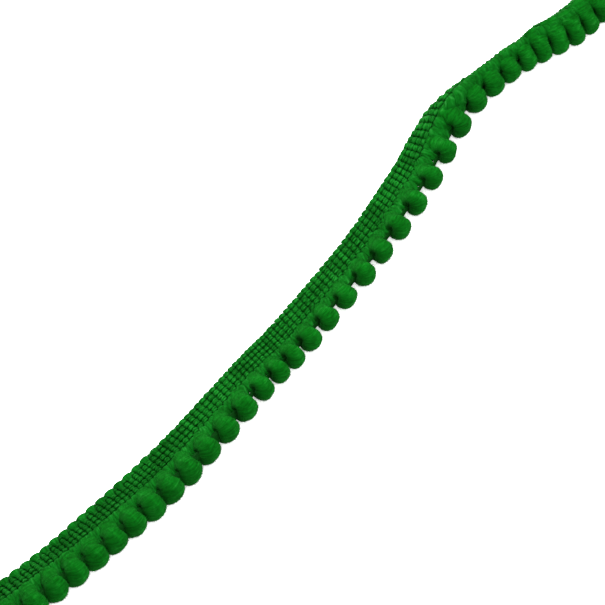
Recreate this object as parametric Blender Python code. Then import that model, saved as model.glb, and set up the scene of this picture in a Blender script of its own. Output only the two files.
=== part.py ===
"""Pompom fringe trim: a narrow knitted heading tape, a soft yarn fringe comb that grows from its
inner edge, and a row of small round pompoms tied along the comb's outer line.

The trim lies on the floor. It runs along X. The heading is on the +Y side and the pompoms are on
the -Y side. Past the turn near its +X end the heading stands up on its free edge behind the
pompoms. Lengths are in millimetres until a point is made, then in metres, with +Z up.
"""
import math
import random

import bmesh
import bpy
from mathutils import Vector

MM = 0.001

# The ground, measured across it from the tie line of the pompoms to the heading's free edge.
GROUND_WIDTH = 11.6
COMB_BACK = 5.2
HEADING_START = 5.5
HEADING_THICK = 1.2
COMB_THICK = 1.5
EDGE_CHAMFER = 0.35
COMB_CHAMFER = 0.3

# Where the ground's slope turns from the comb's to the heading's.
TURN_START = 3.8
TURN_END = 6.0
SLOPE_STEP = 0.1
STEEPEST_SLOPE = 80.0
SLOPE_HALVINGS = 40

# The pompoms.
POM_COUNT = 39
POM_RADIUS = 3.25
POM_OUTWARD = 0.4
POM_CENTRE_HEIGHT = 3.1
POM_SIDES = 10
POM_RINGS = 7
POM_MIN_RADIUS = 2.1
POM_TO_POM = 0.36
DIMPLE_DEPTH = 0.45
DIMPLE_SPREAD = 0.36
HEADING_SIDE_SWELL = 0.1
SIZE_JITTER = 0.035
SEED = 7

# The comb's recess round each pompom, and where its teeth may end.
RECESS_GAP = 0.36
RECESS_SQUARENESS = 2.8
TOOTH_TIP = 0.6
RECESS_PLACES = (-0.5, -0.36, -0.18, 0.0, 0.18, 0.36)

# The heading keeps this many sections to each pompom.
HEADING_SECTIONS_PER_POM = 2
END_MARGIN = 0.5

# The way the trim lies. One row for each place where it changes.
# columns: pompom number, x and y of the tie line (mm), the ground's downward slope (degrees)
#          where the heading starts, and at the heading's free edge
ROUTE = [
    (1, -131.3, -4.7, 24, 19),
    (4, -112.4, -7.7, 24, 19),
    (8, -87.8, -10.3, 20, 16),
    (12, -62.2, -11.0, 14, 10),
    (16, -32.8, -8.9, 8, 6),
    (19, -14.2, -8.2, 0, 0),
    (23, 18.3, -4.8, 0, 0),
    (26, 44.8, 0.3, 6, 6),
    (28, 63.3, 5.6, 24, 34),
    (29, 72.5, 7.5, 56, 86),
    (30, 79.9, 7.5, 62, 100),
    (32, 92.4, 5.8, 58, 98),
    (33, 97.5, 4.5, 52, 90),
    (35, 108.0, 1.5, 44, 82),
    (37, 119.1, 0.7, 36, 68),
    (39, 131.1, 0.3, 30, 56),
]


def clear_scene():
    for old in list(bpy.data.objects):
        bpy.data.objects.remove(old, do_unlink=True)


def yarn_material(name, colour, roughness):
    material = bpy.data.materials.new(name)
    material.use_nodes = True
    shader = material.node_tree.nodes["Principled BSDF"]
    shader.inputs["Base Color"].default_value = (*colour, 1.0)
    shader.inputs["Roughness"].default_value = roughness
    shader.inputs["Metallic"].default_value = 0.0
    return material


# ---------------------------------------------------------------- the way the trim lies

def row_before(place):
    """The number of the table row that a place along the trim comes after."""
    index = 0
    while index < len(ROUTE) - 2 and place > ROUTE[index + 1][0]:
        index += 1
    return index


def row_rate(index, column):
    """How fast a column changes per pompom at one row, from the rows on both sides."""
    before = ROUTE[max(index - 1, 0)]
    after = ROUTE[min(index + 1, len(ROUTE) - 1)]
    return (after[column] - before[column]) / (after[0] - before[0])


def smooth_column(place, column):
    """A column as a smooth curve through its rows. Past both ends it runs on straight."""
    index = row_before(place)
    start, end = ROUTE[index], ROUTE[index + 1]
    span = end[0] - start[0]
    t = (place - start[0]) / span
    if t < 0.0:
        return start[column] + (place - start[0]) * row_rate(index, column)
    if t > 1.0:
        return end[column] + (place - end[0]) * row_rate(index + 1, column)
    rise = end[column] - start[column]
    rate_in = row_rate(index, column) * span
    rate_out = row_rate(index + 1, column) * span
    ease = t * t * (3.0 - 2.0 * t)
    return (start[column] + rise * ease
            + rate_in * t * (1.0 - t) ** 2 - rate_out * t * t * (1.0 - t))


def eased_column(place, column):
    """A column that stays between its rows' values, and level where two rows agree."""
    index = row_before(place)
    start, end = ROUTE[index], ROUTE[index + 1]
    t = min(max((place - start[0]) / (end[0] - start[0]), 0.0), 1.0)
    return start[column] + (end[column] - start[column]) * t * t * (3.0 - 2.0 * t)


def tie_point(place):
    """The tie line at a place along the trim, on the plan."""
    return Vector((smooth_column(place, 1), smooth_column(place, 2), 0.0))


def along_trim(place):
    ahead = tie_point(place + 0.05) - tie_point(place - 0.05)
    return ahead.normalized()


def across_trim(place):
    """The level direction from the tie line towards the heading."""
    ahead = along_trim(place)
    return Vector((-ahead.y, ahead.x, 0.0))


def slope_across(width, comb_slope, turn_slope, edge_slope):
    """The ground's downward slope at a distance from the tie line, in degrees."""
    if width <= TURN_START:
        return comb_slope
    if width <= TURN_END:
        t = (width - TURN_START) / (TURN_END - TURN_START)
        return comb_slope + (turn_slope - comb_slope) * t
    t = (width - TURN_END) / (GROUND_WIDTH - TURN_END)
    return turn_slope + (edge_slope - turn_slope) * t


def ground_profile(comb_slope, turn_slope, edge_slope):
    """Distances out, heights and slopes across the ground, at each small step of its width."""
    out, height = 0.0, POM_CENTRE_HEIGHT
    profile = [(out, height, comb_slope)]
    for step in range(round(GROUND_WIDTH / SLOPE_STEP)):
        middle = (step + 0.5) * SLOPE_STEP
        slope = slope_across(middle, comb_slope, turn_slope, edge_slope)
        out += SLOPE_STEP * math.cos(math.radians(slope))
        height -= SLOPE_STEP * math.sin(math.radians(slope))
        end = slope_across((step + 1) * SLOPE_STEP, comb_slope, turn_slope, edge_slope)
        profile.append((out, height, end))
    return profile


def settled_profile(place):
    """The ground's profile with the comb sloped so that the heading's free edge rests."""
    turn_slope = eased_column(place, 3)
    edge_slope = eased_column(place, 4)
    rest = HEADING_THICK / 2 * max(math.cos(math.radians(edge_slope)), 0.0)
    low, high = -STEEPEST_SLOPE, STEEPEST_SLOPE
    for _ in range(SLOPE_HALVINGS):
        comb_slope = (low + high) / 2
        if ground_profile(comb_slope, turn_slope, edge_slope)[-1][1] > rest:
            low = comb_slope
        else:
            high = comb_slope
    return ground_profile(comb_slope, turn_slope, edge_slope)


def ground_point(place, profile, width, proud):
    """A point of the ground: so far across it, and so far above its middle surface."""
    step = min(max(width / SLOPE_STEP, 0.0), len(profile) - 1.001)
    index = int(step)
    t = step - index
    near, far = profile[index], profile[index + 1]
    out = near[0] + (far[0] - near[0]) * t
    height = near[1] + (far[1] - near[1]) * t
    slope = math.radians(near[2] + (far[2] - near[2]) * t)
    out += proud * math.sin(slope)
    height += proud * math.cos(slope)
    point = tie_point(place) + across_trim(place) * out
    point.z = max(height, 0.0)
    return point * MM


# ---------------------------------------------------------------- solids

def swept_strip(name, sections, material):
    """One closed solid through rings of points that all have the same count."""
    shape = bmesh.new()
    rings = [[shape.verts.new(point) for point in section] for section in sections]
    for ring, following in zip(rings, rings[1:]):
        for index in range(len(ring)):
            after = (index + 1) % len(ring)
            shape.faces.new((ring[index], ring[after], following[after], following[index]))
    shape.faces.new(rings[0])
    shape.faces.new(rings[-1])
    bmesh.ops.triangulate(shape, faces=shape.faces[:])
    bmesh.ops.recalc_face_normals(shape, faces=shape.faces[:])
    return finished_object(name, shape, material)


def finished_object(name, shape, material):
    mesh = bpy.data.meshes.new(name)
    shape.to_mesh(mesh)
    shape.free()
    mesh.materials.append(material)
    piece = bpy.data.objects.new(name, mesh)
    bpy.context.scene.collection.objects.link(piece)
    return piece


def heading_section(place):
    """The tape's section: level-sided, with small chamfers, bent with the ground."""
    profile = settled_profile(place)
    half = HEADING_THICK / 2
    inner, outer = HEADING_START, GROUND_WIDTH
    third = (outer - inner - 2 * EDGE_CHAMFER) / 3
    across = [inner + EDGE_CHAMFER + third * count for count in range(4)]
    corners = [(inner, half - EDGE_CHAMFER)]
    corners += [(width, half) for width in across]
    corners += [(outer, half - EDGE_CHAMFER), (outer, EDGE_CHAMFER - half)]
    corners += [(width, -half) for width in reversed(across)]
    corners += [(inner, EDGE_CHAMFER - half)]
    return [ground_point(place, profile, width, proud) for width, proud in corners]


def make_heading(material):
    count = round((POM_COUNT - 1 + 2 * END_MARGIN) * HEADING_SECTIONS_PER_POM)
    places = [1 - END_MARGIN + step / HEADING_SECTIONS_PER_POM for step in range(count + 1)]
    return swept_strip("heading", [heading_section(place) for place in places], material)


def half_lengths():
    """Each pompom's half length along the trim, less where its neighbours crowd it."""
    centres = [tie_point(number) for number in range(0, POM_COUNT + 2)]
    lengths = []
    for number in range(1, POM_COUNT + 1):
        before = (centres[number] - centres[number - 1]).length
        after = (centres[number + 1] - centres[number]).length
        room = min(before, after) / 2 - POM_TO_POM / 2
        lengths.append(max(min(room, POM_RADIUS), POM_MIN_RADIUS))
    return lengths


def recess_width(offset, half_length):
    """How far from the tie line the comb starts, beside a pompom that far along."""
    reach = half_length + RECESS_GAP
    depth = POM_RADIUS * (1 + HEADING_SIDE_SWELL) + RECESS_GAP - POM_OUTWARD
    left = max(1 - (offset / reach) ** RECESS_SQUARENESS, 0.0)
    return depth * left ** (1 / RECESS_SQUARENESS)


def comb_section(place, front):
    profile = settled_profile(place)
    half = COMB_THICK / 2
    tip = half - COMB_CHAMFER
    corners = [(front, tip), (COMB_BACK - COMB_CHAMFER, half), (COMB_BACK, tip),
               (COMB_BACK, -tip), (COMB_BACK - COMB_CHAMFER, -half), (front, -tip)]
    return [ground_point(place, profile, width, proud) for width, proud in corners]


def make_comb(lengths, material):
    """The fringe: one band beside the heading, with a tooth between each two pompoms."""
    sections = []
    for number, half_length in enumerate(lengths, start=1):
        for part in RECESS_PLACES:
            place = number + part
            offset = (tie_point(place) - tie_point(number)).length
            front = max(recess_width(offset, half_length), TOOTH_TIP)
            sections.append(comb_section(place, front))
    last = POM_COUNT + END_MARGIN
    sections.append(comb_section(last, TOOTH_TIP + 2 * RECESS_GAP))
    return swept_strip("fringe_comb", sections, material)


def pom_radius(angle):
    """A pompom's radius for an angle from its tied axis, drawn in where the tie pulls."""
    from_pole = min(angle, math.pi - angle)
    return 1.0 - DIMPLE_DEPTH * math.exp(-(from_pole / DIMPLE_SPREAD) ** 2)


def make_pom(number, half_length, size, material):
    """One ball of cut yarn. Its axis lies along the trim, with a dimple at each end."""
    shape = bmesh.new()
    angles = [math.pi * ring / (POM_RINGS + 1) for ring in range(1, POM_RINGS + 1)]
    furthest = max(pom_radius(angle) * math.cos(angle) for angle in angles)
    ahead, out = along_trim(number), across_trim(number)
    centre = tie_point(number) - out * POM_OUTWARD
    centre.z = POM_CENTRE_HEIGHT
    radius = POM_RADIUS * size

    def surface(angle, turn):
        reach = pom_radius(angle)
        side, rise = math.cos(turn), math.sin(turn)
        swell = 1 + HEADING_SIDE_SWELL * max(side, 0.0)
        ring = radius * reach * math.sin(angle)
        point = centre + ahead * (half_length * reach * math.cos(angle) / furthest)
        point += out * (ring * side * swell)
        point.z = max(point.z + ring * rise, 0.0)
        return point * MM

    tips = [shape.verts.new(surface(angle, 0.0)) for angle in (0.0, math.pi)]
    rings = []
    turns = [math.tau * side / POM_SIDES for side in range(POM_SIDES)]
    for angle in angles:
        rings.append([shape.verts.new(surface(angle, turn)) for turn in turns])
    for ring, following in zip(rings, rings[1:]):
        for index in range(POM_SIDES):
            after = (index + 1) % POM_SIDES
            shape.faces.new((ring[index], ring[after], following[after], following[index]))
    for tip, ring in zip(tips, (rings[0], rings[-1])):
        for index in range(POM_SIDES):
            shape.faces.new((tip, ring[index], ring[(index + 1) % POM_SIDES]))
    bmesh.ops.triangulate(shape, faces=shape.faces[:])
    bmesh.ops.recalc_face_normals(shape, faces=shape.faces[:])
    piece = finished_object(f"pom_{number:02d}", shape, material)
    piece.data.shade_smooth()
    return piece


def main():
    clear_scene()
    chance = random.Random(SEED)
    heading_yarn = yarn_material("heading_yarn", (0.008, 0.17, 0.025), 0.75)
    fringe_yarn = yarn_material("fringe_yarn", (0.008, 0.2, 0.025), 0.85)
    pom_yarn = yarn_material("pom_yarn", (0.006, 0.22, 0.02), 0.95)
    lengths = half_lengths()
    make_heading(heading_yarn)
    make_comb(lengths, fringe_yarn)
    for number, half_length in enumerate(lengths, start=1):
        size = 1.0 - SIZE_JITTER * chance.random()
        make_pom(number, half_length, size, pom_yarn)


main()
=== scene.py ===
"""Looks of the pompom fringe trim: chain-stitched heading, soft weft loops and clipped pompoms.

Sizes are in millimetres until a piece is finished, then in metres, in the frame of the CAD model.
A place along the trim is counted in pompoms: 3.5 is half way from pompom 3 to pompom 4.
A width is measured across the knitted ground, from the pompoms' tie line to the free edge.
"""
import functools
import math
import random

import bmesh
import bpy
import numpy as np
from mathutils import Matrix, Vector, noise


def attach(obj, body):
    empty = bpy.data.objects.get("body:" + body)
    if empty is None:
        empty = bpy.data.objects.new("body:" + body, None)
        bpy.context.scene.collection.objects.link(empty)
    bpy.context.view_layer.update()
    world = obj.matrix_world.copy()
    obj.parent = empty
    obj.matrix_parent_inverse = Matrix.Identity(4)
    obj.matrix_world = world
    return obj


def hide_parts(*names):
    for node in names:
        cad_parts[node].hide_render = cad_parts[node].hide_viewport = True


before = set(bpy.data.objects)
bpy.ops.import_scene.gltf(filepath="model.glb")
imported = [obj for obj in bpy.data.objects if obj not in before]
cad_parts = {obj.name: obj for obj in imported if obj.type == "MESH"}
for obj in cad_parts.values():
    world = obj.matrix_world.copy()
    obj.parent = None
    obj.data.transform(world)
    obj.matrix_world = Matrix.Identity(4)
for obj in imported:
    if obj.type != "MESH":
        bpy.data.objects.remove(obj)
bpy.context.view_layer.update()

MM = 0.001

# ---------------------------------------------------------------- sizes of the trim

# The knitted ground (mm).
GROUND_WIDTH = 11.6
HEADING_START = 5.5
HEADING_THICK = 1.2

# The pompoms, and the knitting's courses to each of them. Each middle lies outward of the tie
# line, and neighbours keep a gap (mm).
POM_COUNT = 39
COURSES_PER_POM = 4
POM_RADIUS = 3.25
POM_MIN_RADIUS = 2.1
POM_OUTWARD = 0.4
POM_CENTRE_HEIGHT = 3.1
POM_TO_POM = 0.3

# The trim is cut off half a pompom's room before the first pompom and past the last one.
TRIM_START = 0.5
TRIM_END = POM_COUNT + 0.5

# ---------------------------------------------------------------- the way the trim lies

# One row for each place where it changes.
# columns: pompom number, x and y of the tie line (mm), the ground's downward slope (degrees)
#          where the heading starts, and at the heading's free edge
ROUTE = [
    (1, -131.3, -4.7, 24, 19),
    (4, -112.4, -7.7, 24, 19),
    (8, -87.8, -10.3, 20, 16),
    (12, -62.2, -11.0, 14, 10),
    (16, -32.8, -8.9, 8, 6),
    (19, -14.2, -8.2, 0, 0),
    (23, 18.3, -4.8, 0, 0),
    (26, 44.8, 0.3, 6, 6),
    (28, 63.3, 5.6, 24, 34),
    (29, 72.5, 7.5, 56, 86),
    (30, 79.9, 7.5, 62, 100),
    (32, 92.4, 5.8, 58, 98),
    (33, 97.5, 4.5, 52, 90),
    (35, 108.0, 1.5, 44, 82),
    (37, 119.1, 0.7, 36, 68),
    (39, 131.1, 0.3, 30, 56),
]

# The widths between which the loops' slope turns into the heading's, and the step of width at
# which the slope is added up (mm).
TURN_START = 3.8
TURN_END = 6.0
SLOPE_STEP = 0.1

# The loops' slope is found by halving the span of slopes from this far up to this far down
# (degrees), so many times.
STEEPEST_LOOPS = 80.0
SLOPE_HALVINGS = 30

# The trim's direction at a place is taken from this far before it to this far past it.
HALF_STRIDE = 0.05

# The ground's profile is worked out once, at even steps that reach past both ends of the trim.
LAY_FIRST = -0.5
LAY_STEP = 0.125
LAY_COUNT = round((POM_COUNT + 2) / LAY_STEP)

# The heading's width as knitted, as a share of its full width. It is drawn in here and there.
TIGHT_PLACES = (2, 5.5, 8, 12, 15.5, 19, 25, 28.1, 28.7)
TIGHTNESS = (0.84, 0.85, 0.97, 1.0, 0.9, 0.96, 0.91, 0.85, 1.0)

# How much the trim stands up along its crest, by place (mm), and the share of it by width.
LIFT_PLACES = (27.3, 27.8, 28.7, 29.6, 30.8, 31.5, 32.4, 33.4, 35.6, 36.6, 38.0)
CREST_LIFTS = (0.0, 1.0, 1.0, -0.25, -0.35, -0.1, -0.3, 0.9, 1.0, 0.5, 0.0)
LIFT_WIDTHS = (2.0, 4.5, 8.0, 10.5)
LIFT_SHARES = (0.0, 1.0, 1.0, 0.0)

# How far the courses run askew, from the tie line to the heading and on to its free edge.
# columns: pompom number, drift over the loops and over the heading (in pompoms)
SKEW = [
    (1, 0.00, 0.00),
    (4, 0.30, 0.00),
    (11, 0.34, 0.06),
    (16, 0.40, 0.20),
    (24, 0.40, 0.20),
    (28, 0.16, 0.04),
    (36, 0.10, 0.00),
    (39, 0.00, 0.00),
]

# ---------------------------------------------------------------- the heading

# The thin layer under the stitches: how far across it reaches, where it lies from the ground's
# middle, and how close it comes to the floor and to the cut ends (mm, and pompoms for the ends).
GROUND_INNER = 1.9
GROUND_OUTER = 11.3
GROUND_RISE = -0.28
GROUND_THICK = 0.1
GROUND_FLOOR_GAP = 0.15
GROUND_END_GAP = 0.02
# The ground's painted shade, as it lies deep between the stitches.
GROUND_SHADE = 0.15
GROUND_ROWS = 12

# The heading's wales, by the width at which each lies.
WALES = (6.2, 7.75, 9.3, 10.85)

# One chain stitch, as the path of its yarn.
# columns: along the wale (in courses), across it (mm), up from the ground's middle (mm),
#          half thickness (mm)
CHAIN_STITCH = [
    (0.02, -0.05, -0.32, 0.20),
    (0.12, -0.15, -0.14, 0.25),
    (0.28, -0.27, 0.16, 0.34),
    (0.50, -0.32, 0.30, 0.38),
    (0.72, -0.27, 0.16, 0.34),
    (0.88, -0.15, -0.12, 0.25),
    (0.98, 0.00, -0.32, 0.20),
    (0.88, 0.15, -0.12, 0.25),
    (0.72, 0.27, 0.16, 0.34),
    (0.50, 0.32, 0.30, 0.38),
    (0.28, 0.27, 0.16, 0.34),
    (0.12, 0.15, -0.14, 0.25),
    (0.02, 0.05, -0.32, 0.20),
    (0.40, 0.03, -0.46, 0.14),
    (0.75, -0.03, -0.46, 0.14),
]
STITCH_HALF_WIDTH = 0.32
STITCH_SIDES = 8

# A stitch's yarn is as thick as listed where a course has this much of the trim's length (mm).
USUAL_ROOM = 1.7

# What differs from stitch to stitch: its size (share), and how far it lies to the side, lies
# deeper or higher, and tips to one side (mm).
STITCH_SEED = 11
STITCH_SIZES = (0.86, 1.08)
STITCH_LEANS = (-0.09, 0.09)
STITCH_LIFTS = (-0.12, 0.05)
STITCH_TWISTS = (-0.12, 0.12)

# A stitch's yarn gets painted shade where it lies deep: from this height down, and fully so much
# deeper (mm), up to the most painted shade. Where the edge is scalloped the stitches are sunk
# between its turns, and all of them get a bit more painted shade.
STITCH_SHADE_TOP = 0.1
STITCH_SHADE_FALL = 0.45
SUNK_SHADE = 0.28
MOST_STITCH_SHADE = 0.9

# ---------------------------------------------------------------- the weft

# The weft of one course, from the free edge to the tie line. It is thin where the stitches hold
# it and swells where it comes out of the heading.
# columns: width (mm), height over the ground's middle (mm), half width (share of a course's
#          room along the trim), half thickness (mm)
WEFT = [
    (11.60, -0.12, 0.26, 0.12),
    (11.54, -0.06, 0.50, 0.34),
    (11.30, 0.0, 0.60, 0.44),
    (10.85, -0.05, 0.50, 0.36),
    (10.4, -0.07, 0.38, 0.28),
    (9.9, -0.08, 0.34, 0.24),
    (9.3, -0.08, 0.30, 0.22),
    (8.5, -0.08, 0.30, 0.22),
    (7.0, -0.08, 0.30, 0.22),
    (5.80, -0.14, 0.32, 0.22),
    (5.48, -0.18, 0.38, 0.24),
    (5.22, -0.02, 0.46, 0.42),
    (4.95, 0.10, 0.60, 0.64),
    (4.3, 0.18, 0.70, 0.80),
    (3.5, 0.20, 0.74, 0.84),
    (2.7, 0.12, 0.74, 0.80),
    (2.0, -0.04, 0.70, 0.70),
    (1.5, -0.24, 0.62, 0.58),
    (1.15, -0.45, 0.48, 0.42),
    (1.0, -0.60, 0.24, 0.18),
]
WEFT_SIDES = 10

# How dark the weft's painted shade is inside the heading, where it lies between the stitches, and
# how far that shade stays inside the heading's two sides.
WEFT_SHADE = 0.5
HEADING_SHADE_MARGIN = 0.1

# The loops get their freedom over this much of their width past the heading (mm).
FREEING_WIDTH = 2.0

# What differs from course to course: how far its loop strays along the trim (in pompoms), how
# far it stops short of the free edge (mm), and how fat its loop is (share).
WEFT_SEED = 23
WEFT_STRAYS = (-0.012, 0.012)
WEFT_SHORTS = (-0.1, 0.2)
WEFT_SIZES = (0.94, 1.05)
COURSE_SHIFT = 37.0

# The loops are drawn towards their own pompom, by this share of the way at the tie line. Up to
# the first place they hardly are, and their ends reach past the tie line instead and fill the
# space between the pompoms: by how much (mm), and the widths where that is full and has ended.
GATHER_PLACES = (11, 16)
LOOP_GATHERS = (0.08, 0.28)
FILL_REACH = 1.2
FILL_FULL_WIDTH = 1.0
FILL_END_WIDTH = 2.7

# Up to the first place every other course stops short of the free edge (mm). The courses
# between them swell over the outer wale from the one width to the other: they get wider (share
# of a course's room), lie higher and are thicker (mm).
SCALLOP_PLACES = (9, 14)
EDGE_SCALLOP = 0.4
EDGE_COVER_START = 9.1
EDGE_COVER_FULL = 10.2
EDGE_FULLNESS = 0.75
EDGE_LIFT = 0.45
EDGE_PUFF = 0.18

# Where the trim stands up on its edge the loops crowd together into one smooth crest, and each
# gets wider by this share of a course's room.
CREST_PLACES = (26.5, 28.5)
CREST_FILL = 1.1

# The core thread that the pompoms are strung on: half its thickness, and how far inward of the
# tie line and below the pompoms' middles it lies (mm). It is thick where the pompoms are close,
# and its yarn is painted nearly all in shade, which darkens the gap between them.
CORE_PLACES = (13, 16)
CORE_HALVES = (1.5, 0.5)
CORE_INWARD = (0.0, 0.8)
CORE_DROP = (0.0, 0.45)
CORE_SHADE = 0.85

# ---------------------------------------------------------------- the pompoms

BALL_SEGMENTS = 72
BALL_RINGS = 44
BALL_FLOOR_GAP = 0.01

# What differs from ball to ball: its size, and how far its ties lie aside (shares).
BALL_SEED = 100
BALL_SIZES = (0.89, 0.97)
TIE_SHARES = (0.8, 1.2)

# A ball's unevenness. Each has how fine it is around and along the ball, and how high it is
# (share of the radius). The yarn's grooves fade out from the dimples over a spread (radians).
LUMP_FINENESS, LUMP_HEIGHT = 1.3, 0.07
TUFT_FINENESS, TUFT_ALONG, TUFT_HEIGHT = 3.2, 0.7, 0.035
GROOVE_FINENESS, GROOVE_ALONG, GROOVE_HEIGHT = 8.0, 1.0, 0.03
GROOVE_SPREAD = 0.9
NOISE_SHIFT = (7.3, 3.1, 0.0)
STRAND_SHIFT = 2.7

# The dimple at each end of a ball, where its yarn is tied: its depth (share of the radius), its
# spread (radians), how dark the painted shade around it is at the near and the far end, and which
# way the tie lies from the ball's end (along the trim, towards the heading and up, in radii).
DIMPLE_DEPTH = 0.55
DIMPLE_SPREAD = 0.55
NEAR_SHADE = 0.9
FAR_SHADE = 0.35
NEAR_TIE = (0.0, 0.8, 0.3)
FAR_TIE = (0.0, 0.25, 0.1)

# How a ball fills its place: the share of its room along the trim that it fills towards the
# near and the far end, its size, and how far the dimples' painted shade spreads (radians).
FIT_PLACES = (12, 16, 26, 29)
NEAR_FITS = (1.12, 0.88, 0.88, 1.02)
FAR_FITS = (1.04, 0.88, 0.88, 1.0)
POM_SIZES = (1.05, 1.0, 1.0, 1.0)
SHADE_SPREADS = (1.6, 1.2, 1.2, 1.3)

# The neck that joins a ball to the heading: the width at which it ends, how high it ends over
# the ground's middle (mm), and how far along it leans (in pompoms). Spreads are half angles of
# its flat end (radians). It ends higher where the trim stands on its edge.
NECK_END = 5.35
NECK_RISE = 0.35
NECK_LEAN = 0.14
NECK_PLACES = (1, 8, 14, 26, 29, 39)
NECK_SPREADS = (0.24, 0.24, 0.24, 0.24, 0.55, 0.5)
NECK_LIFT_PLACES = (31, 34)
NECK_LIFTS = (0.0, 1.1)

# ---------------------------------------------------------------- cut pile and finishes

# Cut fibre ends that stand up from the yarn: fibres per square mm, sizes in mm, lean and turn in
# radians, and lengths as shares of the full one. The loops have less pile than the balls.
PILE_DENSITY = 12.0
PILE_RADIUS = 0.032
PILE_LENGTH = 0.42
PILE_LEAN = 0.7
PILE_TURN = 3.0
PILE_SHORTEST = 0.5
PILE_LONGEST = 1.2
LOOP_PILE = 0.25
LOOP_PILE_SEED = 7

# The yarns' colours: the deep green of the painted shade between the strands, and each yarn's dark
# and light fibres.
PAINTED_SHADE_GREEN = (0.0002, 0.012, 0.0004)
CHAIN_DARK, CHAIN_LIGHT = (0.0002, 0.032, 0.0008), (0.003, 0.125, 0.008)
WEFT_DARK, WEFT_LIGHT = (0.0002, 0.04, 0.001), (0.0015, 0.09, 0.005)
POM_DARK, POM_LIGHT = (0.0002, 0.05, 0.001), (0.0015, 0.112, 0.005)

# Where in the fibres' pattern the dark, the light and the painted glint fibres are, and how much
# brighter and paler a fibre with a painted glint is than a light one: a painted highlight.
DARK_AT = 0.38
LIGHT_AT = 0.58
GLINT_AT = 0.72
GLINT_GAIN = 1.3
GLINT_PALENESS = 0.012

# The dye's own uneven tone and the yarn's fine grain (patterns to a metre), how much the tone
# shows, and the relief of the fibres (mm).
TONE_FINENESS = 260.0
TONE_SHARE = 0.25
GRAIN_FINENESS = 3200.0
FIBRE_RELIEF = 0.08
RELIEF_STRENGTH = 0.9
YARN_SPECULAR = 0.02
SHEEN_ROUGHNESS = 0.6
SHEEN_TINT = (0.2, 0.8, 0.25, 1.0)

# ---------------------------------------------------------------- studio values

# The camera: angles in degrees, distance in metres, lens and sensor in millimetres.
CAMERA_AZIMUTH = 50.0
CAMERA_ELEVATION = 54.0
CAMERA_DISTANCE = 0.70
CAMERA_LENS = 166.6
CAMERA_SENSOR = 36.0
CAMERA_REACH = 10.0
LOOK_AT = Vector((-0.0049, 0.0012, 0.0))

# The lights stand this far off (metres) in a white studio. The floor is a light table, so it
# glows a little, and it is square (half its side in mm).
LIGHT_DISTANCE = 1.2
STUDIO_BRIGHTNESS = 1.65
FLOOR_HALF_SIZE = 3000.0
FLOOR_PALENESS = 0.94
FLOOR_GLOW = 0.6
FLOOR_ROUGHNESS = 0.9

# Keeps a length that may be nothing from being divided by, and closes a yarn's seam (mm).
NEARLY_NOTHING = 1e-9
SEAM_GAP = 1e-5


# ---------------------------------------------------------------- where the trim lies

def row_before(place):
    """The number of the route's row that a place along the trim comes after."""
    index = 0
    while index < len(ROUTE) - 2 and place > ROUTE[index + 1][0]:
        index += 1
    return index


def row_rate(index, column):
    """How fast a column changes at one of the route's rows."""
    before = ROUTE[max(index - 1, 0)]
    after = ROUTE[min(index + 1, len(ROUTE) - 1)]
    return (after[column] - before[column]) / (after[0] - before[0])


def smooth_column(place, column):
    """A column as a smooth curve through its rows. Past both ends it runs on straight."""
    index = row_before(place)
    start, end = ROUTE[index], ROUTE[index + 1]
    span = end[0] - start[0]
    t = (place - start[0]) / span
    if t < 0.0:
        return start[column] + (place - start[0]) * row_rate(index, column)
    if t > 1.0:
        return end[column] + (place - end[0]) * row_rate(index + 1, column)
    rise = end[column] - start[column]
    rate_in = row_rate(index, column) * span
    rate_out = row_rate(index + 1, column) * span
    ease = t * t * (3.0 - 2.0 * t)
    return (start[column] + rise * ease
            + rate_in * t * (1.0 - t) ** 2 - rate_out * t * t * (1.0 - t))


def eased_column(place, column):
    """A column that stays between its rows' values, and level where two rows agree."""
    index = row_before(place)
    start, end = ROUTE[index], ROUTE[index + 1]
    t = min(max((place - start[0]) / (end[0] - start[0]), 0.0), 1.0)
    return start[column] + (end[column] - start[column]) * t * t * (3.0 - 2.0 * t)


def tie_point(place):
    """The tie line at a place along the trim, on the plan."""
    return np.array((smooth_column(place, 1), smooth_column(place, 2), 0.0))


def along_trim(place):
    """The level direction in which the trim runs."""
    ahead = tie_point(place + HALF_STRIDE) - tie_point(place - HALF_STRIDE)
    return ahead / np.linalg.norm(ahead)


def across_trim(place):
    """The level direction from the tie line towards the heading."""
    ahead = along_trim(place)
    return np.array((-ahead[1], ahead[0], 0.0))


def ground_profile(loop_slope, turn_slope, edge_slope):
    """Distances out, heights and slopes across the ground, at each small step of its width."""
    ends = np.linspace(0.0, GROUND_WIDTH, round(GROUND_WIDTH / SLOPE_STEP) + 1)
    bends = (0.0, TURN_START, TURN_END, GROUND_WIDTH)
    slopes = (loop_slope, loop_slope, turn_slope, edge_slope)
    at_ends = np.interp(ends, bends, slopes)
    at_middles = np.radians(np.interp((ends[1:] + ends[:-1]) / 2, bends, slopes))
    out = np.concatenate(([0.0], np.cumsum(np.cos(at_middles)))) * SLOPE_STEP
    drop = np.concatenate(([0.0], np.cumsum(np.sin(at_middles)))) * SLOPE_STEP
    return np.stack((out, POM_CENTRE_HEIGHT - drop, np.radians(at_ends)))


def settled_profile(place):
    """The ground's profile with the loops sloped so that the heading's free edge rests."""
    turn_slope = eased_column(place, 3)
    edge_slope = eased_column(place, 4)
    rest = HEADING_THICK / 2 * max(math.cos(math.radians(edge_slope)), 0.0)
    low, high = -STEEPEST_LOOPS, STEEPEST_LOOPS
    for _ in range(SLOPE_HALVINGS):
        loop_slope = (low + high) / 2
        profile = ground_profile(loop_slope, turn_slope, edge_slope)
        if profile[1, -1] > rest:
            low = loop_slope
        else:
            high = loop_slope
    return profile


LAY = np.array([settled_profile(LAY_FIRST + LAY_STEP * step) for step in range(LAY_COUNT)])


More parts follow.
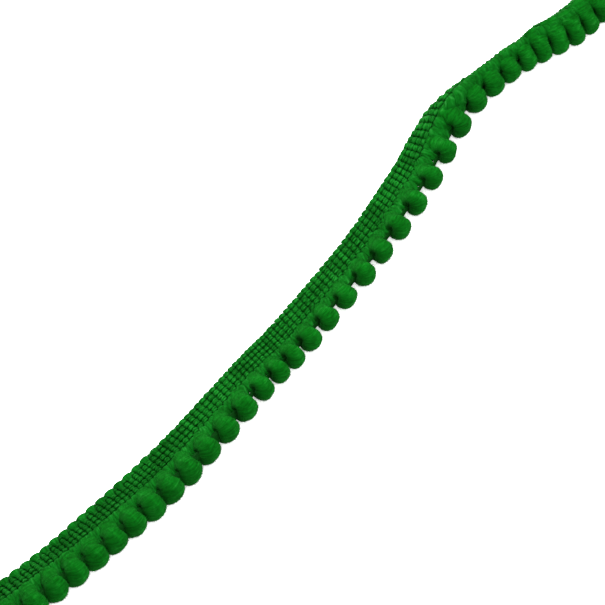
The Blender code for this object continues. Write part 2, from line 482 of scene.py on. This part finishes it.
def drifted(place, width):
    """Where a course that starts at this place on the tie line has got to at a width."""
    numbers, loops, heading = zip(*SKEW)
    over_loops = min(max(width / HEADING_START, 0.0), 1.0)
    over_heading = max((width - HEADING_START) / (GROUND_WIDTH - HEADING_START), 0.0)
    return (place + over_loops * np.interp(place, numbers, loops)
            + over_heading * np.interp(place, numbers, heading))


def gathered(place, width):
    """A course of the loops, drawn towards its own pompom as it nears the tie line."""
    pull = np.interp(place, GATHER_PLACES, LOOP_GATHERS)
    pull *= min(max(1.0 - width / HEADING_START, 0.0), 1.0)
    return place + (round(place) - place) * pull


def on_ground(place, width, proud):
    """A point so far above the ground's middle, and the ground's upward normal there."""
    if width > HEADING_START:
        width = HEADING_START + (width - HEADING_START) * np.interp(place, TIGHT_PLACES, TIGHTNESS)
    proud += (np.interp(place, LIFT_PLACES, CREST_LIFTS)
              * np.interp(width, LIFT_WIDTHS, LIFT_SHARES))
    row = (place - LAY_FIRST) / LAY_STEP
    index = int(row)
    share = row - index
    profile = LAY[index] * (1.0 - share) + LAY[index + 1] * share
    widths = np.linspace(0.0, GROUND_WIDTH, profile.shape[1])
    out, height, slope = (np.interp(width, widths, line) for line in profile)
    if width > GROUND_WIDTH:
        out += (width - GROUND_WIDTH) * math.cos(slope)
        height -= (width - GROUND_WIDTH) * math.sin(slope)
    across = across_trim(place)
    normal = across * math.sin(slope) + np.array((0.0, 0.0, math.cos(slope)))
    point = tie_point(place) + across * out + np.array((0.0, 0.0, height))
    return point + normal * proud, normal


def within_trim(place, gap=0.0):
    """Keeps a place between the trim's cut ends."""
    return min(max(place, TRIM_START + gap), TRIM_END - gap)


def course_places():
    """The place of each course's middle."""
    first = TRIM_START + 0.5 / COURSES_PER_POM
    return [first + step / COURSES_PER_POM for step in range(POM_COUNT * COURSES_PER_POM)]


def course_room(place):
    """The length of trim that one course has, at a place."""
    half = 0.5 / COURSES_PER_POM
    return np.linalg.norm(tie_point(place + half) - tie_point(place - half))


# ---------------------------------------------------------------- making meshes

def finished_piece(name, shape, material):
    """A bmesh in millimetres becomes a smooth-shaded piece in metres."""
    bmesh.ops.scale(shape, vec=(MM, MM, MM), verts=shape.verts)
    mesh = bpy.data.meshes.new(name)
    shape.to_mesh(mesh)
    shape.free()
    mesh.shade_smooth()
    mesh.materials.append(material)
    piece = bpy.data.objects.new(name, mesh)
    bpy.context.scene.collection.objects.link(piece)
    return piece


def new_yarn_shape():
    """An empty shape whose points hold where on the strand they lie, their painted shade and pile.
    """
    shape = bmesh.new()
    layers = shape.verts.layers
    layers.float_vector.new("strand")
    layers.float.new("depth")
    layers.float.new("pile")
    return shape


def yarn_layers(shape):
    """The layers that hold the strand, the painted shade and the pile."""
    layers = shape.verts.layers
    return layers.float_vector["strand"], layers.float["depth"], layers.float["pile"]


def lay_yarn(shape, points, normals, half_widths, half_heights, depths, sides, piles=None,
             strand_start=0.0):
    """One yarn: a grid rolled into a tube along its points, open at both ends until closed."""
    points, normals = np.array(points), np.array(normals)
    ahead = np.gradient(points, axis=0)
    lengths = np.linalg.norm(ahead, axis=1, keepdims=True)
    ahead = ahead / np.maximum(lengths, NEARLY_NOTHING)
    side = np.cross(ahead, normals)
    side /= np.maximum(np.linalg.norm(side, axis=1, keepdims=True), NEARLY_NOTHING)
    up = np.cross(side, ahead)
    travelled = strand_start + np.cumsum(lengths)
    strand, depth, pile = yarn_layers(shape)
    last = len(points) - 1
    grid = bmesh.ops.create_grid(shape, x_segments=last, y_segments=sides, size=1.0)
    for vert in grid["verts"]:
        ring = round((vert.co.x + 1.0) / 2.0 * last)
        turn = math.tau * round((vert.co.y + 1.0) / 2.0 * sides) / sides
        across, rise = math.cos(turn), math.sin(turn)
        vert.co = (points[ring] + side[ring] * (across * half_widths[ring])
                   + up[ring] * (rise * half_heights[ring]))
        vert[strand] = (across, rise, travelled[ring])
        # Each point's painted shade, by which its colour is darkened.
        vert[depth] = depths[ring]
        if piles:
            vert[pile] = piles[ring]


def close_yarns(shape):
    """Joins each tube along its seam and closes its ends."""
    bmesh.ops.remove_doubles(shape, verts=shape.verts, dist=SEAM_GAP)
    rims = [edge for edge in shape.edges if edge.is_boundary]
    bmesh.ops.holes_fill(shape, edges=rims, sides=0)
    bmesh.ops.recalc_face_normals(shape, faces=shape.faces)


def settle_face_order(shape):
    """Puts the faces in one fixed order, so that the cut pile stands the same in each run."""
    shape.verts.index_update()
    count = len(shape.verts)

    def order(face):
        first, second, third = sorted(vert.index for vert in face.verts)[:3]
        return (first * count + second) * count + third

    shape.faces.sort(key=order)


# ---------------------------------------------------------------- finishes

def add_node(tree, kind, inputs=(), **settings):
    """Adds a node with its settings. An input is given a value, or the socket that feeds it."""
    node = tree.nodes.new(kind)
    for key, value in settings.items():
        setattr(node, key, value)
    for key, value in dict(inputs).items():
        if isinstance(value, bpy.types.NodeSocket):
            tree.links.new(value, node.inputs[key])
        else:
            node.inputs[key].default_value = value
    return node


def new_finish(name):
    """A new material with its node tree and its shader."""
    material = bpy.data.materials.new(name)
    material.use_nodes = True
    tree = material.node_tree
    return material, tree, tree.nodes["Principled BSDF"]


def fibre_colours(add, pattern, dark, light):
    """Dark fibres, light fibres and a few with a painted glint, by a 0 to 1 pattern."""
    ramp = add("ShaderNodeValToRGB", {"Fac": pattern})
    dark_end, light_end = ramp.color_ramp.elements
    dark_end.color = (*dark, 1.0)
    dark_end.position = DARK_AT
    light_end.color = (*light, 1.0)
    light_end.position = LIGHT_AT
    # A painted glint: the palest fibres are painted brighter and paler, as if they caught the
    # light.
    glint = ramp.color_ramp.elements.new(GLINT_AT)
    glint.color = (*(channel * GLINT_GAIN + GLINT_PALENESS for channel in light), 1.0)
    return ramp.outputs["Color"]


def yarn_finish(name, dark, light, turns, stretch, roughness, sheen, grain):
    """Spun yarn or cut pile: fine fibres that follow the strand, with a soft sheen, painted glints
    and painted shade.

    turns and stretch say how fine the fibres are around the strand and along it, and grain is
    the relief of the yarn's fine grain (mm).
    """
    material, tree, shader = new_finish(name)
    add = functools.partial(add_node, tree)
    strand = add("ShaderNodeAttribute", attribute_name="strand")
    fibre_map = add("ShaderNodeMapping", {
        "Vector": strand.outputs["Vector"], "Scale": (turns, turns, stretch)})
    fibres = add("ShaderNodeTexNoise", {
        "Vector": fibre_map.outputs["Vector"], "Scale": 1.0, "Detail": 3.0, "Roughness": 0.6})
    place = add("ShaderNodeTexCoord")
    tone = add("ShaderNodeTexNoise", {
        "Vector": place.outputs["Object"], "Scale": TONE_FINENESS, "Detail": 2.0,
        "Roughness": 0.5})
    pattern = add("ShaderNodeMix", {
        "Factor": TONE_SHARE, "A": fibres.outputs["Fac"], "B": tone.outputs["Fac"]},
        data_type="FLOAT")
    colours = fibre_colours(add, pattern.outputs["Result"], dark, light)
    # The painted shade: each point's colours are mixed towards a deep green by its painted shade
    # value.
    depth = add("ShaderNodeAttribute", attribute_name="depth")
    # A Mix node lists its sockets for every kind of value. Those for colours are 6 and 7, out 2.
    shaded = add("ShaderNodeMix", {
        "Factor": depth.outputs["Fac"], 6: colours, 7: (*PAINTED_SHADE_GREEN, 1.0)}, data_type="RGBA")
    tree.links.new(shaded.outputs[2], shader.inputs["Base Color"])
    fibre_relief = add("ShaderNodeBump", {
        "Height": fibres.outputs["Fac"], "Strength": RELIEF_STRENGTH,
        "Distance": FIBRE_RELIEF * MM})
    grains = add("ShaderNodeTexNoise", {
        "Vector": place.outputs["Object"], "Scale": GRAIN_FINENESS, "Detail": 2.0,
        "Roughness": 0.6})
    relief = add("ShaderNodeBump", {
        "Height": grains.outputs["Fac"], "Strength": RELIEF_STRENGTH, "Distance": grain * MM,
        "Normal": fibre_relief.outputs["Normal"]})
    tree.links.new(relief.outputs["Normal"], shader.inputs["Normal"])
    shader.inputs["Roughness"].default_value = roughness
    shader.inputs["Specular IOR Level"].default_value = YARN_SPECULAR
    shader.inputs["Sheen Weight"].default_value = sheen
    shader.inputs["Sheen Roughness"].default_value = SHEEN_ROUGHNESS
    shader.inputs["Sheen Tint"].default_value = SHEEN_TINT
    return material


def chain_yarn_finish():
    return yarn_finish("chain_yarn", CHAIN_DARK, CHAIN_LIGHT, turns=1.6, stretch=1.2,
                       roughness=0.5, sheen=0.02, grain=0.05)


def weft_yarn_finish():
    return yarn_finish("weft_yarn", WEFT_DARK, WEFT_LIGHT, turns=2.4, stretch=0.5,
                       roughness=0.85, sheen=0.03, grain=0.08)


def pom_yarn_finish():
    return yarn_finish("pom_yarn", POM_DARK, POM_LIGHT, turns=12.0, stretch=1.5,
                       roughness=0.95, sheen=0.03, grain=0.1)


def pale_floor_finish():
    material, _, shader = new_finish("pale_floor")
    shader.inputs["Base Color"].default_value = (FLOOR_PALENESS,) * 3 + (1.0,)
    shader.inputs["Roughness"].default_value = FLOOR_ROUGHNESS
    shader.inputs["Emission Color"].default_value = (1.0, 1.0, 1.0, 1.0)
    shader.inputs["Emission Strength"].default_value = FLOOR_GLOW
    return material


# ---------------------------------------------------------------- cut pile

def make_pile_nodes(material):
    """Geometry nodes that stand short fibres all over a piece, thicker where it has more pile."""
    group = bpy.data.node_groups.new("cut_pile", "GeometryNodeTree")
    group.interface.new_socket("Geometry", in_out="INPUT", socket_type="NodeSocketGeometry")
    group.interface.new_socket("Seed", in_out="INPUT", socket_type="NodeSocketInt")
    group.interface.new_socket("Geometry", in_out="OUTPUT", socket_type="NodeSocketGeometry")
    add = functools.partial(add_node, group)
    given = add("NodeGroupInput").outputs
    pile = add("GeometryNodeInputNamedAttribute", {"Name": "pile"}, data_type="FLOAT")
    density = add("ShaderNodeMath", {0: pile.outputs["Attribute"], 1: PILE_DENSITY / MM ** 2},
                  operation="MULTIPLY")
    points = add("GeometryNodeDistributePointsOnFaces", {
        "Mesh": given["Geometry"], "Density": density.outputs[0], "Seed": given["Seed"]})
    fibre = add("GeometryNodeMeshCone", {
        "Vertices": 3, "Radius Top": 0.0, "Radius Bottom": PILE_RADIUS * MM,
        "Depth": PILE_LENGTH * MM})
    upright = add("FunctionNodeAlignRotationToVector", {"Vector": points.outputs["Normal"]})
    lean = add("FunctionNodeRandomValue", {
        0: (-PILE_LEAN, -PILE_LEAN, -PILE_TURN), 1: (PILE_LEAN, PILE_LEAN, PILE_TURN),
        "Seed": given["Seed"]}, data_type="FLOAT_VECTOR")
    tilted = add("FunctionNodeRotateRotation", {
        "Rotation": upright.outputs["Rotation"], "Rotate By": lean.outputs[0]},
        rotation_space="LOCAL")
    length = add("FunctionNodeRandomValue", {
        2: PILE_SHORTEST, 3: PILE_LONGEST, "Seed": given["Seed"]})
    fibres = add("GeometryNodeInstanceOnPoints", {
        "Points": points.outputs["Points"], "Instance": fibre.outputs["Mesh"],
        "Rotation": tilted.outputs["Rotation"], "Scale": length.outputs[1]})
    real = add("GeometryNodeRealizeInstances", {"Geometry": fibres.outputs["Instances"]})
    dyed = add("GeometryNodeSetMaterial", {
        "Geometry": real.outputs["Geometry"], "Material": material})
    joined = add("GeometryNodeJoinGeometry", {"Geometry": dyed.outputs["Geometry"]})
    group.links.new(given["Geometry"], joined.inputs["Geometry"])
    add("NodeGroupOutput", {"Geometry": joined.outputs["Geometry"]})
    return group


def grow_pile(piece, pile_nodes, seed):
    """Gives a piece its cut pile."""
    modifier = piece.modifiers.new("cut_pile", "NODES")
    modifier.node_group = pile_nodes
    seed_name = pile_nodes.interface.items_tree["Seed"].identifier
    modifier[seed_name] = seed


# ---------------------------------------------------------------- the heading's pieces

def make_ground(material):
    """The tape's own thin layer, which shows only deep between the stitches."""
    shape = new_yarn_shape()
    _, depth, _ = yarn_layers(shape)
    grid = bmesh.ops.create_grid(shape, x_segments=POM_COUNT * COURSES_PER_POM,
                                 y_segments=GROUND_ROWS, size=1.0)
    for vert in grid["verts"]:
        place = TRIM_START + (TRIM_END - TRIM_START) * (vert.co.x + 1.0) / 2.0
        width = GROUND_INNER + (GROUND_OUTER - GROUND_INNER) * (vert.co.y + 1.0) / 2.0
        point, _ = on_ground(within_trim(place, GROUND_END_GAP), width, GROUND_RISE)
        point[2] = max(point[2], GROUND_FLOOR_GAP)
        vert.co = point
        # The ground gets a little painted shade, as it lies deep between the stitches.
        vert[depth] = GROUND_SHADE
    bmesh.ops.solidify(shape, geom=shape.faces[:], thickness=GROUND_THICK)
    bmesh.ops.recalc_face_normals(shape, faces=shape.faces)
    return finished_piece("heading_ground", shape, material)


def make_chain(material):
    """The heading's wales: chain stitches, each drawn through the one before."""
    shape = new_yarn_shape()
    chance = random.Random(STITCH_SEED)
    for wale in WALES:
        points, normals, halves, depths = [], [], [], []
        for start in course_places():
            scallop_shade = np.interp(start, SCALLOP_PLACES, (SUNK_SHADE, 0.0))
            size = chance.uniform(*STITCH_SIZES)
            lean = chance.uniform(*STITCH_LEANS)
            lift = chance.uniform(*STITCH_LIFTS)
            twist = chance.uniform(*STITCH_TWISTS)
            plump = math.sqrt(course_room(start) / USUAL_ROOM)
            for along, across, rise, half in CHAIN_STITCH:
                width = wale + across * size + lean
                place = drifted(start + (along - 0.5) / COURSES_PER_POM, width)
                tipped = rise + lift + twist * across / STITCH_HALF_WIDTH
                point, normal = on_ground(within_trim(place), width, tipped)
                points.append(point)
                normals.append(normal)
                halves.append(half * size * plump)
                # Painted shade: the lower the yarn lies, the darker it is painted, and near the
                # scalloped edge all of it a bit darker.
                shade = max((STITCH_SHADE_TOP - rise) / STITCH_SHADE_FALL, 0.0) + scallop_shade
                depths.append(min(shade, MOST_STITCH_SHADE))
        lay_yarn(shape, points, normals, halves, halves, depths, STITCH_SIDES)
    close_yarns(shape)
    return finished_piece("chain_stitches", shape, material)


# ---------------------------------------------------------------- the weft's piece

def lay_core(shape):
    """The core thread, from the first pompom's middle to the last one's."""
    places = np.linspace(1.0, POM_COUNT, (POM_COUNT - 1) * COURSES_PER_POM + 1)
    points = []
    for place in places:
        height = POM_CENTRE_HEIGHT - np.interp(place, CORE_PLACES, CORE_DROP)
        inward = np.interp(place, CORE_PLACES, CORE_INWARD)
        points.append(tie_point(place) + across_trim(place) * inward
                      + np.array((0.0, 0.0, height)))
    count = len(points)
    halves = np.interp(places, CORE_PLACES, CORE_HALVES)
    # The core's yarn is painted nearly all in shade.
    lay_yarn(shape, points, [(0.0, 0.0, 1.0)] * count, halves, halves, [CORE_SHADE] * count,
             WEFT_SIDES, [LOOP_PILE] * count)


def lay_course(shape, number, start, chance):
    """One course of the weft, from the free edge to the end of its loop."""
    stray = chance.uniform(*WEFT_STRAYS)
    short = chance.uniform(*WEFT_SHORTS)
    fatter = chance.uniform(*WEFT_SIZES) - 1.0
    room = course_room(start)
    scallop = np.interp(start, SCALLOP_PLACES, (1.0, 0.0))
    if number % 2:
        short += EDGE_SCALLOP * scallop
        swelling = 0.0
    else:
        swelling = scallop
    filling = np.interp(start, GATHER_PLACES, (FILL_REACH, 0.0))
    points, normals, half_widths, half_heights, depths, piles = [], [], [], [], [], []
    for width, rise, half_width, half_height in WEFT:
        free = min(max((HEADING_START - width) / FREEING_WIDTH, 0.0), 1.0)
        crowded = free * np.interp(start, CREST_PLACES, (0.0, CREST_FILL))
        edge = min(max((width - WALES[-1]) / (GROUND_WIDTH - WALES[-1]), 0.0), 1.0)
        cover = np.interp(width, (EDGE_COVER_START, EDGE_COVER_FULL), (0.0, swelling))
        past_tie = np.interp(width, (FILL_FULL_WIDTH, FILL_END_WIDTH), (filling, 0.0))
        place = within_trim(drifted(gathered(start + stray * free, width), width))
        point, normal = on_ground(place, width - short * edge - past_tie,
                                  rise + EDGE_LIFT * cover)
        points.append(point)
        normals.append(normal)
        fullness = 1.0 + fatter * free
        half_widths.append(half_width * room * (fullness + crowded + EDGE_FULLNESS * cover))
        half_heights.append(half_height * fullness + EDGE_PUFF * cover)
        # Painted shade on the weft where it lies between the stitches, less where the edge swells
        # over it.
        gets_heading_shade = HEADING_START < width + HEADING_SHADE_MARGIN < WALES[-1]
        depths.append(WEFT_SHADE * (1.0 - cover) if gets_heading_shade else 0.0)
        piles.append(LOOP_PILE * free)
    lay_yarn(shape, points, normals, half_widths, half_heights, depths, WEFT_SIDES, piles,
             number * COURSE_SHIFT)


def make_weft(material, pile_nodes):
    """The soft weft: across the heading on each course, then out to the tie line."""
    shape = new_yarn_shape()
    chance = random.Random(WEFT_SEED)
    for number, start in enumerate(course_places()):
        lay_course(shape, number, start, chance)
    lay_core(shape)
    close_yarns(shape)
    piece = finished_piece("weft_loops", shape, material)
    grow_pile(piece, pile_nodes, LOOP_PILE_SEED)
    return piece


# ---------------------------------------------------------------- the pompoms' pieces

def half_lengths():
    """Each pompom's half length along the trim, less where its neighbours crowd it."""
    centres = [tie_point(number) for number in range(0, POM_COUNT + 2)]
    lengths = []
    for number in range(1, POM_COUNT + 1):
        before = np.linalg.norm(centres[number] - centres[number - 1])
        after = np.linalg.norm(centres[number + 1] - centres[number])
        room = min(before, after) / 2 - POM_TO_POM / 2
        lengths.append(max(min(room, POM_RADIUS), POM_MIN_RADIUS))
    return lengths


def neck_of(number, centre, size, axes):
    """A neck's direction from its ball, its two other axes, and its length in the ball's radii."""
    rise = NECK_RISE + np.interp(number, NECK_LIFT_PLACES, NECK_LIFTS)
    tip, _ = on_ground(drifted(number + NECK_LEAN, NECK_END), NECK_END, rise)
    reach = axes @ (tip - centre) / size
    length = np.linalg.norm(reach)
    way = reach / length
    side = np.array((1.0, 0.0, 0.0)) - way * way[0]
    side /= np.linalg.norm(side)
    return way, side, np.cross(way, side), length


def neck_swell(way, neck, spread):
    """How much further than the ball the taut skin between ball and neck reaches this way."""
    neck_way, side, above, length = neck
    sideways = math.atan2(way @ side, way @ neck_way)
    upward = math.asin(min(max(way @ above, -1.0), 1.0))
    from_neck = math.hypot(max(abs(sideways) - spread, 0.0), upward)
    leaves_ball = math.acos(1.0 / length)
    if from_neck >= leaves_ball:
        return 0.0
    return 1.0 / math.cos(leaves_ball - from_neck) - 1.0


def ball_shape(number, chance):
    """How far a clipped ball reaches each way: lumps, yarn grooves and a dimple at each tie."""
    near_tie = np.array(NEAR_TIE) * chance.uniform(*TIE_SHARES)
    far_tie = np.array(FAR_TIE) * chance.uniform(*TIE_SHARES)
    shift = Vector([number * step for step in NOISE_SHIFT])

    def reach_from(ball_way):
        axial = ball_way[0]
        way = ball_way + (near_tie if axial < 0.0 else far_tie) * axial * axial
        way = way / np.linalg.norm(way)
        turn = math.atan2(ball_way[2], ball_way[1])
        around = Vector((math.cos(turn), math.sin(turn), 0.0))
        from_pole = math.acos(min(abs(axial), 1.0))
        lumps = noise.noise(Vector(way) * LUMP_FINENESS + shift) * LUMP_HEIGHT
        tuft_place = around * TUFT_FINENESS + Vector((0, 0, axial * TUFT_ALONG))
        tufts = noise.noise(tuft_place + shift) * TUFT_HEIGHT
        groove_place = around * GROOVE_FINENESS + Vector((0, 0, axial * GROOVE_ALONG))
        grooves = noise.noise(groove_place + shift) * GROOVE_HEIGHT
        grooves *= math.exp(-(from_pole / GROOVE_SPREAD) ** 2)
        dimple = DIMPLE_DEPTH * math.exp(-(from_pole / DIMPLE_SPREAD) ** 2)
        reach = (1.0 + lumps + tufts + grooves) * (1.0 - dimple)
        return way, reach, turn, from_pole

    return reach_from


def make_pom(number, half_length, material, pile_nodes):
    """One clipped ball. Its yarn runs from dimple to dimple, and a neck joins it to the weft."""
    chance = random.Random(BALL_SEED + number)
    shape = new_yarn_shape()
    strand, depth, pile = yarn_layers(shape)
    along = Matrix.Rotation(math.pi / 2, 4, "Y")
    bmesh.ops.create_uvsphere(shape, u_segments=BALL_SEGMENTS, v_segments=BALL_RINGS,
                              radius=1.0, matrix=along)
    settle_face_order(shape)
    out, up = across_trim(number), np.array((0.0, 0.0, 1.0))
    axes = np.array((along_trim(number), out, up))
    centre = tie_point(number) - out * POM_OUTWARD + up * POM_CENTRE_HEIGHT
    near_fit, far_fit, usual_size, shade_spread = (
        np.interp(number, FIT_PLACES, values)
        for values in (NEAR_FITS, FAR_FITS, POM_SIZES, SHADE_SPREADS))
    size = POM_RADIUS * chance.uniform(*BALL_SIZES) * usual_size
    neck = neck_of(number, centre, size, axes)
    neck_spread = np.interp(number, NECK_PLACES, NECK_SPREADS)
    reach_from = ball_shape(number, chance)
    found = [reach_from(np.array(vert.co)) for vert in shape.verts]
    ends = [way[0] * reach for way, reach, _, _ in found]
    near_stretch = near_fit * half_length / (size * -min(ends))
    far_stretch = far_fit * half_length / (size * max(ends))
    for vert, (way, reach, turn, from_pole) in zip(shape.verts, found):
        axial = vert.co.x
        stretch = near_stretch if way[0] < 0.0 else far_stretch
        ball = way * reach * np.array((stretch, 1.0, 1.0))
        skin = way * neck_swell(way, neck, neck_spread)
        point = centre + ((ball + skin) * size) @ axes
        point[2] = max(point[2], BALL_FLOOR_GAP)
        vert.co = point
        # Painted shade darkens each end of the ball around its dimple, most at the near end.
        side_shade = NEAR_SHADE if axial < 0.0 else FAR_SHADE
        vert[strand] = (math.cos(turn), math.sin(turn), axial + number * STRAND_SHIFT)
        vert[depth] = math.exp(-(from_pole / shade_spread) ** 2) * side_shade
        vert[pile] = 1.0 - math.exp(-(from_pole / DIMPLE_SPREAD) ** 2)
    bmesh.ops.recalc_face_normals(shape, faces=shape.faces)
    piece = finished_piece(f"pompom_{number:02d}", shape, material)
    grow_pile(piece, pile_nodes, number)
    return piece


# ---------------------------------------------------------------- studio

def make_camera():
    """A long lens that looks down along the trim."""
    turn, tilt = math.radians(CAMERA_AZIMUTH), math.radians(CAMERA_ELEVATION)
    level = Vector((math.sin(turn), math.cos(turn), 0.0))
    forward = level * math.cos(tilt) - Vector((0.0, 0.0, math.sin(tilt)))
    data = bpy.data.cameras.new("camera")
    data.lens = CAMERA_LENS
    data.sensor_width = CAMERA_SENSOR
    data.clip_end = CAMERA_REACH
    camera = bpy.data.objects.new("camera", data)
    camera.location = LOOK_AT - forward * CAMERA_DISTANCE
    camera.rotation_euler = forward.to_track_quat("-Z", "Y").to_euler()
    bpy.context.scene.collection.objects.link(camera)
    bpy.context.scene.camera = camera


def make_light(name, azimuth, elevation, size, power):
    """A round soft light that faces the trim. Its angles are in degrees, azimuth from +X."""
    turn, tilt = math.radians(azimuth), math.radians(elevation)
    way = Vector((math.cos(turn) * math.cos(tilt), math.sin(turn) * math.cos(tilt),
                  math.sin(tilt)))
    data = bpy.data.lights.new(name, "AREA")
    data.shape = "DISK"
    data.size = size
    data.energy = power
    light = bpy.data.objects.new(name, data)
    light.location = way * LIGHT_DISTANCE
    light.rotation_euler = (-way).to_track_quat("-Z", "Y").to_euler()
    bpy.context.scene.collection.objects.link(light)


def make_studio():
    """Even white light from all round, two soft lights and the floor."""
    world = bpy.data.worlds.new("studio")
    bpy.context.scene.world = world
    world.use_nodes = True
    background = world.node_tree.nodes["Background"]
    background.inputs["Color"].default_value = (1.0, 1.0, 1.0, 1.0)
    background.inputs["Strength"].default_value = STUDIO_BRIGHTNESS
    make_light("key", azimuth=50.0, elevation=56.0, size=0.9, power=20.0)
    make_light("fill", azimuth=150.0, elevation=50.0, size=1.2, power=2.0)
    shape = bmesh.new()
    bmesh.ops.create_grid(shape, x_segments=1, y_segments=1, size=FLOOR_HALF_SIZE)
    finished_piece("floor", shape, pale_floor_finish())
    bpy.context.scene.view_settings.view_transform = "Standard"


# ---------------------------------------------------------------- the trim

def main():
    make_camera()
    make_studio()
    chain_yarn = chain_yarn_finish()
    weft_yarn = weft_yarn_finish()
    pom_yarn = pom_yarn_finish()
    ground = make_ground(chain_yarn)
    chain = make_chain(chain_yarn)
    weft = make_weft(weft_yarn, make_pile_nodes(weft_yarn))
    pile_nodes = make_pile_nodes(pom_yarn)
    poms = [make_pom(number, half_length, pom_yarn, pile_nodes)
            for number, half_length in enumerate(half_lengths(), start=1)]
    for piece in (ground, chain, weft, *poms):
        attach(piece, "root")
    for piece in (ground, chain):
        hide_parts("heading")
    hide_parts("fringe_comb")
    for number, pom in enumerate(poms, start=1):
        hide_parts(f"pom_{number:02d}")


main()
